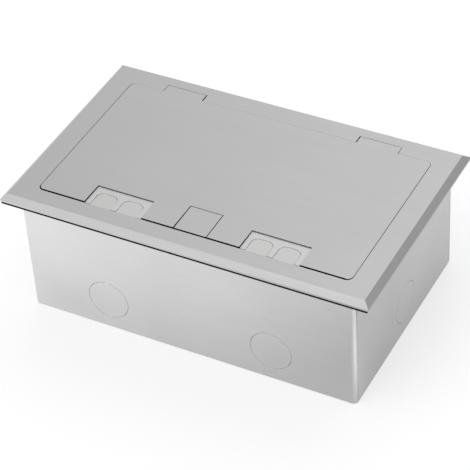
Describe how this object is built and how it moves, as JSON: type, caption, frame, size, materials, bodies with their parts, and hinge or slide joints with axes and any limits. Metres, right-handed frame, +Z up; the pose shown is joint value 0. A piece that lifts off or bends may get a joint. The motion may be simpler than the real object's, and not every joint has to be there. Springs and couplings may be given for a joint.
{
  "type": "floor socket box",
  "caption": "Flush stainless floor socket box: bevelled trim frame, hinged lid with a lift handle and sprung cable doors, sockets and data ports inside.",
  "frame": {"origin": "below the centre of the trim frame, on the underside of the back box", "axes": "+X along the box's length to the right, seen from the cable outlets; +Y towards the lid hinge; +Z up, out of the floor"},
  "size_m": [0.29, 0.179, 0.104],
  "materials": {
    "satin_steel": "satin brushed stainless steel",
    "outlet_metal": "matt satin stainless steel",
    "door_steel": "matt satin stainless steel",
    "zinc_sheet": "zinc-plated sheet steel",
    "plate_paint": "fine-textured dark grey powder coat",
    "bright_steel": "bright zinc-plated steel",
    "spring_steel": "drawn spring wire",
    "module_white": "white moulded plastic",
    "body_grey": "grey moulded plastic",
    "brass": "plain brass",
    "lever_orange": "orange moulded plastic",
    "jack_black": "black moulded plastic",
    "seal_rubber": "black foam rubber strip"
  },
  "bodies": {
    "box": {"back_box": "satin_steel", "frame_lugs": "zinc_sheet", "trim_frame": "satin_steel", "frame_screws": "bright_steel", "flange_gasket": "seal_rubber", "lid_seal": "seal_rubber", "hinge_pins": "bright_steel", "plate_brackets": "zinc_sheet", "accessory_plate": "plate_paint", "plate_screws": "bright_steel", "data_face": "module_white", "data_jack_left": "jack_black", "data_jack_right": "jack_black", "blank_face": "module_white", "wiring_divider": "zinc_sheet", "earth_stud": "brass", "earth_nuts": "bright_steel", "socket_1_face": "module_white", "socket_1_body": "body_grey", "socket_1_contacts": "brass", "socket_1_release_levers": "lever_orange", "socket_2_face": "module_white", "socket_2_body": "body_grey", "socket_2_contacts": "brass", "socket_2_release_levers": "lever_orange", "socket_3_face": "module_white", "socket_3_body": "body_grey", "socket_3_contacts": "brass", "socket_3_release_levers": "lever_orange"},
    "lid": {"lid_plate": "satin_steel", "lid_studs": "bright_steel", "stud_nuts": "bright_steel", "lid_stiffener": "zinc_sheet", "left_outlet_insert": "outlet_metal", "right_outlet_insert": "outlet_metal", "left_door_pin": "bright_steel", "right_door_pin": "bright_steel", "door_springs": "spring_steel", "handle_bracket": "zinc_sheet", "handle_pin": "bright_steel", "handle_spring": "spring_steel"},
    "handle": {"lift_handle": "satin_steel"},
    "door_1": {"cable_door_1": "door_steel"},
    "door_2": {"cable_door_2": "door_steel"},
    "door_3": {"cable_door_3": "door_steel"},
    "door_4": {"cable_door_4": "door_steel"}
  },
  "joints": [
    {"name": "lid_hinge", "type": "hinge", "parent": "box", "child": "lid", "pos_m": [0, 0.0735, 0.1018], "axis": [-1, 0, 0], "range_deg": [0, 95]},
    {"name": "handle_tilt", "type": "hinge", "parent": "lid", "child": "handle", "pos_m": [0, -0.0524, 0.0988], "axis": [-1, 0, 0], "range_deg": [0, 35], "stiffness_Nm_per_rad": 0.03, "springref_deg": -28.65},
    {"name": "door_1_swing", "type": "hinge", "parent": "lid", "child": "door_1", "pos_m": [-0.0726, -0.0577, 0.1], "axis": [1, 0, 0], "range_deg": [0, 85], "stiffness_Nm_per_rad": 0.001, "springref_deg": -28.65},
    {"name": "door_2_swing", "type": "hinge", "parent": "lid", "child": "door_2", "pos_m": [-0.0514, -0.0577, 0.1], "axis": [1, 0, 0], "range_deg": [0, 85], "stiffness_Nm_per_rad": 0.001, "springref_deg": -28.65},
    {"name": "door_3_swing", "type": "hinge", "parent": "lid", "child": "door_3", "pos_m": [0.0514, -0.0577, 0.1], "axis": [1, 0, 0], "range_deg": [0, 85], "stiffness_Nm_per_rad": 0.001, "springref_deg": -28.65},
    {"name": "door_4_swing", "type": "hinge", "parent": "lid", "child": "door_4", "pos_m": [0.0726, -0.0577, 0.1], "axis": [1, 0, 0], "range_deg": [0, 85], "stiffness_Nm_per_rad": 0.001, "springref_deg": -28.65}
  ]
}
